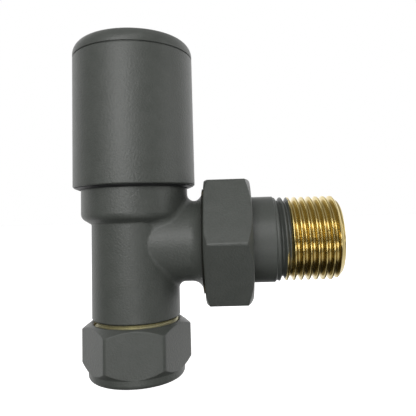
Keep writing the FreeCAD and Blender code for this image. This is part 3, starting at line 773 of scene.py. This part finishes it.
@dataclass
class Handwheel:
    """The round grip and the lid that snaps into it."""

    wall: float = 1.3
    rim_round: float = 0.4
    mouth_chamfer: float = 0.5
    lid_round: float = 3.8
    crown: float = 0.25  # how much the lid's middle stands above its shoulder
    spigot_gap: float = 0.08
    spigot_wall: float = 1.7
    plate: float = 2.0
    crown_reach: float = 5.0  # where the crown's curve ends
    crown_rise: float = 0.05  # how much the middle stands above that
    crown_round: float = 8.0
    lid_lift: float = 0.02  # how far the lid clears the sleeve
    groove: float = 0.25  # height of the fine groove under the lid
    groove_depth: float = 0.3
    groove_edge: float = 0.15
    shade_lip_drop: float = 0.5  # how far the black lip hangs below the grip, a painted shadow under its foot
    shade_lip_inner: float = 13.8
    shade_lip_gap: float = 0.05
    shade_lip_slant: float = 0.03
    shade_lip_inset: float = 0.2  # how far the lip stays inside the grip's side

    def build(self) -> None:
        """Makes the sleeve, the black lip of painted shadow under it, and the lid."""
        self.build_sleeve()
        self.build_shade_lip()
        self.build_lid()

    def build_shade_lip(self) -> None:
        """A black slanting lip below the grip, in the lining's nylon: painted shadow that stands in for the shade under
        the grip's foot.
        """
        # painted shadow: a black ring hung below the grip's foot, where there is only shade
        low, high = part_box("cap_sleeve")
        outer, foot = high.x / MM, low.z / MM
        lining = outer - self.wall - self.shade_lip_gap
        corners = [
            Corner(self.shade_lip_inner, foot + self.wall),
            Corner(self.shade_lip_inner, foot - self.shade_lip_drop, FINE),
            Corner(lining, foot - self.shade_lip_drop - self.shade_lip_slant, SOFT),
            Corner(outer - self.shade_lip_inset, foot - self.shade_lip_gap, CRISP),
            Corner(lining + self.mouth_chamfer, foot - self.shade_lip_gap, CRISP),
            Corner(lining, foot + self.mouth_chamfer - self.shade_lip_gap, FINE),
            Corner(lining, foot + self.wall),
        ]
        piece = Piece("grip_lip", Body.HANDWHEEL, Slot.GRIP_LINING, ("cap_sleeve",))
        piece.place(turn(corners), Axis.SPINDLE, [NYLON])

    def build_sleeve(self) -> None:
        """The plain grip, open below, with its lower mouth slightly opened out."""
        low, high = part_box("cap_sleeve")
        outer, foot, top = high.x / MM, low.z / MM, high.z / MM
        inner = outer - self.wall
        corners = [
            Corner(inner, foot + self.mouth_chamfer, SOFT),
            Corner(inner + self.mouth_chamfer, foot, LIGHT),
            Corner(outer, foot, self.rim_round),
            Corner(outer, top, self.groove_edge),
            Corner(inner, top, self.groove_edge),
        ]
        piece = Piece("grip_sleeve", Body.HANDWHEEL, Slot.COATED_GRIP, ("cap_sleeve",))
        piece.place(turn(corners), Axis.SPINDLE, [COAT])

    def build_lid(self) -> None:
        """The lid, with a rounded shoulder and a spigot inside the sleeve."""
        low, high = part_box("cap_top")
        outer, spigot_foot, top = high.x / MM, low.z / MM, high.z / MM
        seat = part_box("cap_sleeve")[1].z / MM + self.lid_lift
        split = seat + self.groove
        spigot = outer - self.wall - self.spigot_gap
        shoulder = top - self.crown
        corners = [
            Corner(0, top - self.plate),
            Corner(spigot - self.spigot_wall, top - self.plate, FULL),
            Corner(spigot - self.spigot_wall, spigot_foot, SOFT),
            Corner(spigot, spigot_foot, ROUND),
            Corner(spigot, seat),
            Corner(outer - self.groove_depth, seat),
            Corner(outer - self.groove_depth, split),
            Corner(outer, split, self.groove_edge),
            Corner(outer, shoulder, self.lid_round, 16),
            Corner(self.crown_reach, top - self.crown_rise, self.crown_round, 6),
            Corner(0, top),
        ]
        piece = Piece("grip_lid", Body.HANDWHEEL, Slot.COATED_GRIP, ("cap_top",))
        piece.place(turn(corners), Axis.SPINDLE, [COAT])


@dataclass
class Casing:
    """The forged and coated casing, with its two outside threads cut in bare brass."""

    inlet_crest: float = 10.4775
    union_crest: float = 13.2205
    depth: float = 1.162
    foot: float = 6.4
    shoulder: float = 14.3
    rim: float = 18.05  # along the tail's axis, where the union's stub starts
    bore_edge: float = 9.35
    port_edge: float = 9.1
    port_start: float = 8.0  # along the tail's axis
    inlet_reach: float = 10.6  # from the axis, just outside the inlet's thread
    inlet_start: float = 0.22  # from the shoulder to the thread
    union_start: float = 0.7  # from the rim to the thread
    short: float = 0.02  # how far each thread stops short of its stub's end
    bare_above_rim: float = 1.0  # how far up each stub its coat ends
    bare_below_shoulder: float = 0.1
    tuck: float = 0.05  # how far each stub lies under the thread's root
    sleeve: float = 0.12  # wall of the thread's sleeve under its root
    extra_chamfer: float = 0.08
    lead_in: float = 0.9
    slack: float = 0.01

    def build(self) -> None:
        """Makes the forging and its threads."""
        forging = self.build_forging()
        branch_end = max(vert.co.x for vert in forging.data.vertices) / MM
        inlet = (self.inlet_crest, self.inlet_start - self.shoulder, -self.foot - self.short)
        self.build_thread("inlet_thread", inlet, Axis.INLET, DUSTED_BRASS)
        union = (self.union_crest, self.rim + self.union_start, branch_end - self.short)
        self.build_thread("union_thread", union, Axis.TAIL, TURNED_BRASS)

    def turn_down(self, point: Vector, middle: Vector, crest: float) -> None:
        """Moves a point of a thread in to just under the thread's root.

        Args:
            point: The point, changed in place.
            middle: The nearest point on the thread's axis.
            crest: The thread's crest radius.
        """
        arm = point - middle
        root = (crest - self.depth - self.tuck) * MM
        if arm.length > root:
            point[:] = middle + arm * (root / arm.length)

    def build_forging(self) -> Object:
        """Copies the casing, turns its threads down to plain stubs and marks its bores as bare metal.

        Returns:
            The forging's object.
        """
        height = Axis.TAIL.matrix().translation.z
        mesh = bmesh.new()
        mesh.from_mesh(bpy.data.objects["body"].data)
        bmesh.ops.remove_doubles(mesh, verts=mesh.verts, dist=MERGE)
        for vert in mesh.verts:
            point = vert.co
            near = math.hypot(point.x, point.y) < self.inlet_reach * MM
            if near and point.z < (self.shoulder + self.slack) * MM:
                self.turn_down(point, Vector((0, 0, point.z)), self.inlet_crest)
            elif point.x > (self.rim - self.slack) * MM:
                self.turn_down(point, Vector((point.x, 0, height)), self.union_crest)
        for face in mesh.faces:
            middle = face.calc_center_median() / MM
            in_bore = math.hypot(middle.x, middle.y) < self.bore_edge
            in_port = middle.x > self.port_start and math.hypot(middle.y, middle.z - height / MM) < self.port_edge
            on_union = middle.x > self.rim + self.bare_above_rim
            on_inlet = middle.z < self.shoulder - self.bare_below_shoulder
            face.material_index = 1 if in_bore or in_port or on_union or on_inlet else 0
        bmesh.ops.dissolve_degenerate(mesh, edges=mesh.edges, dist=MERGE / 2)
        piece = Piece("casing_forging", Body.CASING, Slot.COATED_BRASS, ("body",))
        return piece.place(mesh, Axis.SPINDLE, [COAT, BORED_BRASS])

    def build_thread(self, name: str, reach: tuple[float, float, float], axis: Axis, finish: Finish) -> None:
        """Makes one thread as a closed sleeve round its stub.

        Args:
            name: The piece's name.
            reach: Crest radius, and where the thread begins and ends along its axis.
            axis: The line it runs along.
            finish: What it is made of.
        """
        crest, start, end = reach
        chamfer = self.depth + self.extra_chamfer
        thread = Thread(crest, start, end, chamfer, lead_in=self.lead_in)
        inner = crest - self.depth - self.sleeve
        corners = [
            Corner(crest - chamfer, end),
            Corner(inner, end),
            Corner(inner, start),
            Corner(crest, start),
        ]
        mesh = join(thread.wind(finish), loft(lambda angle: corners, closed=False))
        Piece(name, Body.CASING, Slot.TAIL_BRASS, ("body",)).place(mesh, axis, [finish])


@dataclass
class Nut:
    """What both nuts share: a chamfered hexagon with every edge softened."""

    corner_round: float
    edge: float = 0.3  # least chamfer, where a flat's middle meets an end face
    softness: float = 0.3
    slack: float = 0.05

    def end_corners(self, reach: float, face_radius: float, end: float, slope: float) -> list[Corner]:
        """Works out the two corners where a side meets an end face, from the face outwards.

        Args:
            reach: The side's distance from the axis.
            face_radius: The end face's radius.
            end: Where the end face is. The nut lies above it if slope is positive.
            slope: Length along the axis that the chamfer takes for each millimetre outwards.

        Returns:
            The face's corner and the side's corner.
        """
        lip = min(face_radius, reach - self.edge)
        return [Corner(lip, end, self.softness), Corner(reach, end + (reach - lip) * slope, self.softness)]


@dataclass
class CompressionNut(Nut):
    """The inlet's nut, with a round boss below its hexagon."""

    corner_round: float = 1.2
    first_corner: float = 8.0
    boss: float = 2.2
    boss_round: float = 1.2
    top_radius: float = 11.4
    top_slope: float = 0.72
    hole: float = 7.6
    floor: float = 2.4
    cone: float = 1.45
    thread_bore: float = 10.56
    mouth_chamfer: float = 0.45
    across: float = 23.8
    hole_chamfer: float = 0.3
    coated_foot: float = 0.2  # how far the coat reaches into the hole

    def build(self) -> None:
        """Makes the nut."""
        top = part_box("compression_nut")[1].z / MM
        boss_radius = self.across / 2
        hexagon = Hexagon(self.across, self.corner_round, self.first_corner)

        def outline(angle: float) -> list[Corner]:
            """The nut's section at an angle, from the hole's lower edge outwards and up."""
            reach = hexagon.reach(angle)
            upper = self.end_corners(reach, self.top_radius, top, -self.top_slope)
            return [
                Corner(self.hole, self.hole_chamfer),
                Corner(self.hole + self.hole_chamfer, 0, FINE),
                Corner(boss_radius, 0, self.boss_round, 8),
                Corner(boss_radius, self.boss, EASED),
                Corner(reach, self.boss + (reach - boss_radius), self.softness),
                *reversed(upper),
                Corner(self.thread_bore + self.mouth_chamfer, top, LIGHT),
                Corner(self.thread_bore, top - self.mouth_chamfer, FINE),
                Corner(self.thread_bore, self.floor + self.cone),
                Corner(self.hole + self.cone, self.floor + self.cone),
                Corner(self.hole, self.floor),
            ]

        mesh = loft(outline, hexagon.angles())
        seal_up(mesh)
        mark_bare(mesh, self.thread_bore + self.slack, low=self.coated_foot)
        piece = Piece("inlet_compression_nut", Body.INLET_NUT, Slot.COATED_BRASS, ("compression_nut",))
        piece.place(mesh, Axis.SPINDLE, [COAT, BORED_BRASS])


@dataclass
class UnionNut(Nut):
    """The large nut that pulls the tail onto the casing."""

    corner_round: float = 0.8
    inner_radius: float = 15.6
    outer_radius: float = 14.8
    thread_bore: float = 13.3
    hole: float = 10.95
    lip: float = 2.15
    first_corner: float = 30.0
    chamfer_angle: float = 30.0
    mouth_chamfer: float = 0.4

    def build(self) -> None:
        """Makes the nut."""
        low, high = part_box("union_nut")
        start, end, across = low.x / MM, high.x / MM, (high.z - low.z) / MM
        hexagon = Hexagon(across, self.corner_round, self.first_corner)
        slope = math.tan(math.radians(self.chamfer_angle))

        def outline(angle: float) -> list[Corner]:
            """The nut's section at an angle, from the thread's inner mouth outwards."""
            reach = hexagon.reach(angle)
            return [
                Corner(self.thread_bore, start + self.mouth_chamfer),
                Corner(self.thread_bore + self.mouth_chamfer, start, FINE),
                *self.end_corners(reach, self.inner_radius, start, slope),
                *reversed(self.end_corners(reach, self.outer_radius, end, -slope)),
                Corner(self.hole + self.mouth_chamfer, end, LIGHT),
                Corner(self.hole, end - self.mouth_chamfer, LIGHT),
                Corner(self.hole, end - self.lip),
                Corner(self.thread_bore, end - self.lip),
            ]

        mesh = loft(outline, hexagon.angles())
        seal_up(mesh)
        mark_bare(mesh, self.thread_bore + self.slack, high=end - self.lip + self.slack)
        piece = Piece("union_hexagon_nut", Body.UNION, Slot.COATED_BRASS, ("union_nut",))
        piece.place(mesh, Axis.TAIL, [COAT, BORED_BRASS])


@dataclass
class UnionTail:
    """The tail: nose with its groove, flange, collar, helical thread and hexagon key socket."""

    nose: float = 8.55
    nose_length: float = 3.1
    groove_start: float = 0.7
    groove_width: float = 1.8
    groove_floor: float = 7.26
    flange: float = 12.4
    flange_width: float = 2.7
    collar: float = 10.75
    collar_length: float = 8.1
    crest: float = 10.4775
    chamfer: float = 1.4
    bore: float = 6.0
    key_depth: float = 12.0
    key_corner: float = 0.25
    key_chamfer: float = 0.6
    key_run_out: float = 0.5
    first_corner: float = 30.0
    bore_chamfer: float = 0.4
    collar_chamfer: float = 0.1

    def build(self) -> None:
        """Makes the tail."""
        low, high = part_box("union_tail")
        start, end = low.x / MM, high.x / MM
        flange_at = start + self.nose_length
        collar_at = flange_at + self.flange_width
        thread_at = collar_at + self.collar_length
        groove_at = start + self.groove_start
        socket = Hexagon(2 * self.bore, self.key_corner, self.first_corner)

        def outline(angle: float) -> list[Corner]:
            """The tail's section at an angle, from the thread's outer end through the bore to its inner end."""
            key = socket.reach(angle)
            return [
                Corner(self.crest - self.chamfer, end),
                Corner(key + self.key_chamfer, end, LIGHT),
                Corner(key, end - self.key_chamfer, LIGHT),
                Corner(key, end - self.key_depth),
                Corner(self.bore, end - self.key_depth - self.key_run_out),
                Corner(self.bore, start + self.bore_chamfer),
                Corner(self.bore + self.bore_chamfer, start),
                Corner(self.nose, start, ROUND),
                Corner(self.nose, groove_at, FINE),
                Corner(self.groove_floor, groove_at, SOFT),
                Corner(self.groove_floor, groove_at + self.groove_width, SOFT),
                Corner(self.nose, groove_at + self.groove_width, FINE),
                Corner(self.nose, flange_at, SOFT),
                Corner(self.flange, flange_at, EASED),
                Corner(self.flange, collar_at, EASED),
                Corner(self.collar, collar_at, BLUNT),
                Corner(self.collar, thread_at - self.collar_chamfer, BLUNT),
                Corner(self.crest, thread_at),
            ]

        thread = Thread(self.crest, thread_at, end, self.chamfer)
        mesh = join(thread.wind(TAIL_BRASS), loft(outline, closed=False))
        piece = Piece("union_tail_threaded", Body.TAIL, Slot.TAIL_BRASS, ("union_tail",))
        piece.place(mesh, Axis.TAIL, [TAIL_BRASS])


@dataclass
class InnerParts:
    """The pieces inside the handwheel and the casing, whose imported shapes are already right."""

    def build(self) -> None:
        """Gives each its finish."""
        finishes = {
            "olive": TURNED_BRASS,
            "union_seal": NITRILE,
            "bonnet": TURNED_BRASS,
            "bonnet_seal": FIBRE,
            "spindle_o_ring": NITRILE,
            "gland_packing": PACKING,
            "gland_washer": TURNED_BRASS,
            "gland_nut": TURNED_BRASS,
            "spindle": TURNED_BRASS,
            "disc_holder": TURNED_BRASS,
            "valve_washer": WASHER_RUBBER,
            "washer_screw": TURNED_BRASS,
            "handwheel_insert": NYLON,
            "screw_washer": ZINC,
            "handwheel_screw": ZINC,
        }
        for node, finish in finishes.items():
            data = bpy.data.objects[node].data
            data.materials.clear()
            data.materials.append(finish.make())
            log.info("%s: %s", node, finish.name)


# ---- studio ----


@dataclass(frozen=True)
class Softbox:
    """A square area light aimed at the valve."""

    name: str
    place: tuple[float, float, float]
    side: float
    watts: float
    aim: tuple[float, float, float] = (15.0, 0.0, 42.0)

    def build(self) -> None:
        """Makes the light."""
        lamp = bpy.data.lights.new(self.name, "AREA")
        lamp.size = self.side * MM
        lamp.energy = self.watts
        holder = add_object(self.name, lamp)
        holder.location = Vector(self.place) * MM
        holder.rotation_euler = (Vector(self.place) - Vector(self.aim)).to_track_quat("Z", "Y").to_euler()


@dataclass(frozen=True)
class Glow:
    """A brighter or darker part of the room, round a direction."""

    towards: tuple[float, float, float]
    rim: float  # cosine of the angle where it fades out
    core: float  # cosine of the angle inside which it is full
    strength: float  # added to the room's own


@dataclass
class Studio:
    """A white floor and surround, soft lights, and a camera close in front, looking slightly up."""

    eye: tuple[float, float, float] = (23.94, -120.37, 39.18)
    yaw: float = -1.456  # degrees, positive to the right
    pitch: float = 4.975
    roll: float = -1.75
    lens: float = 40.4
    shift: Point = (-0.0168, -0.082)
    floor_half: float = 3000.0
    floor_drop: float = 6.6  # below the valve's foot, clear of the inlet nut at the end of its travel
    near_clip: float = 5.0
    room: float = 0.15  # strength of the dim room all round
    glows: tuple[Glow, ...] = (
        Glow((-0.6, 0.8, 0.0), 0.55, 0.95, 1.0),  # white backdrop behind, to the left
        Glow((0.6, 0.8, 0.0), 0.55, 0.95, 1.0),  # and to the right
        Glow((0.0, 0.0, 1.0), -0.1, 0.7, 0.28),  # pale ceiling
        Glow((0.13, -0.77, 0.63), 0.98, 0.997, 4.5),  # lamp above the viewer
        Glow((0.16, -0.92, -0.38), 0.98, 0.997, 4.5),  # edge of the table in front, catching the key light
        Glow((0.2, -0.55, -0.81), 0.94, 0.99, 0.9),  # and its white top
        Glow((0.0, 0.0, -1.0), 0.0, 0.8, -0.13),  # the rest of what lies below is dark
    )

    softboxes: tuple[Softbox, ...] = (
        Softbox("key_softbox", (-88, -420, 155), 240, 0.95),
        Softbox("left_softbox", (-240, -330, 100), 200, 0.1),
        Softbox("right_softbox", (420, -100, 100), 240, 0.26),
    )

    def build(self) -> None:
        """Makes the camera, the floor, the surround and the lights."""
        self.build_camera()
        self.build_floor()
        self.build_surround()
        for softbox in self.softboxes:
            softbox.build()

    def build_camera(self) -> None:
        """Sets the camera from its yaw, pitch and roll."""
        yaw, pitch, roll = (math.radians(angle) for angle in (self.yaw, self.pitch, self.roll))
        ahead = Vector((math.sin(yaw) * math.cos(pitch), math.cos(yaw) * math.cos(pitch), math.sin(pitch)))
        right = Vector((math.cos(yaw), -math.sin(yaw), 0))
        up = right.cross(ahead)
        turned_right = right * math.cos(roll) + up * math.sin(roll)
        turned_up = up * math.cos(roll) - right * math.sin(roll)
        camera = bpy.data.cameras.new("camera")
        camera.lens = self.lens
        camera.clip_start = self.near_clip * MM
        camera.shift_x, camera.shift_y = self.shift
        holder = add_object("camera", camera)
        matrix = Matrix((turned_right, turned_up, -ahead)).transposed().to_4x4()
        matrix.translation = Vector(self.eye) * MM
        holder.matrix_world = matrix
        bpy.context.scene.camera = holder

    def build_floor(self) -> None:
        """Lays a plain matt floor under the valve."""
        mesh = bmesh.new()
        half, level = self.floor_half * MM, -self.floor_drop * MM
        mesh.faces.new([mesh.verts.new((x * half, y * half, level)) for x, y in ((-1, -1), (1, -1), (1, 1), (-1, 1))])
        data = bpy.data.meshes.new("floor")
        mesh.to_mesh(data)
        mesh.free()
        # White seamless paper: matt, with a barely seen tooth.
        paper = Finish("white_seamless_paper", "#F7F7F7", "#F3F3F3", 0.9, mottle_mm=8, grain_mm=1.0,
                       grain_depth_mm=0.01, glow=0.72)
        data.materials.append(self.clear_from_below(paper.make()))
        floor = add_object("floor", data)
        # it is only a ground to see the valve on, so it throws neither light nor shadow on it
        floor.visible_diffuse = floor.visible_glossy = floor.visible_shadow = False

    def clear_from_below(self, paper: Material) -> Material:
        """Makes the floor's underside clear, so the valve's foot can be looked at.

        Args:
            paper: The floor's material, changed in place.

        Returns:
            The same material.
        """
        tree = paper.node_tree
        end = next(node for node in tree.nodes if node.bl_idname == "ShaderNodeOutputMaterial")
        top = end.inputs["Surface"].links[0].from_socket
        behind = add_node(tree, "ShaderNodeNewGeometry").outputs["Backfacing"]
        clear = add_node(tree, "ShaderNodeBsdfTransparent").outputs[0]
        mixed = add_node(tree, "ShaderNodeMixShader", {0: behind, 1: top, 2: clear})
        tree.links.new(mixed.outputs[0], end.inputs["Surface"])
        return paper

    def build_surround(self) -> None:
        """Surrounds the studio with plain white to the eye, and with a dim room that has bright parts to reflect."""
        world = bpy.data.worlds.new("surround")
        bpy.context.scene.world = world
        world.use_nodes = True
        tree = world.node_tree
        tree.nodes.clear()
        way = add_node(tree, "ShaderNodeTexCoord").outputs["Object"]
        known: dict[str, Value] = {"light": self.room}
        for glow in self.glows:
            known["near"] = add_node(
                tree, "ShaderNodeVectorMath", {0: way, 1: Vector(glow.towards).normalized()}, operation="DOT_PRODUCT"
            ).outputs["Value"]
            known["part"] = add_node(
                tree,
                "ShaderNodeMapRange",
                {"Value": known["near"], "From Min": glow.rim, "From Max": glow.core},
                interpolation_type="SMOOTHSTEP",
            ).outputs[0]
            add_sums(tree, known, [("light", "MULTIPLY_ADD", "part", glow.strength, "light")])
        dim = add_node(tree, "ShaderNodeBackground", {"Color": WHITE, "Strength": known["light"]})
        white = add_node(tree, "ShaderNodeBackground", {"Color": WHITE, "Strength": 1.0})
        seen = add_node(tree, "ShaderNodeLightPath").outputs["Is Camera Ray"]
        mixed = add_node(tree, "ShaderNodeMixShader", {0: seen, 1: dim.outputs[0], 2: white.outputs[0]})
        add_node(tree, "ShaderNodeOutputWorld", {"Surface": mixed.outputs[0]})
        bpy.context.scene.view_settings.view_transform = "Standard"


def main() -> None:
    """Builds the valve and its studio."""
    logging.basicConfig(level=logging.INFO, format="%(name)s: %(message)s")
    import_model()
    for assembly in (Handwheel(), Casing(), CompressionNut(), UnionNut(), UnionTail(), InnerParts(), Studio()):
        log.info("building %s", type(assembly).__name__)
        assembly.build()


if __name__ == "__main__":
    main()
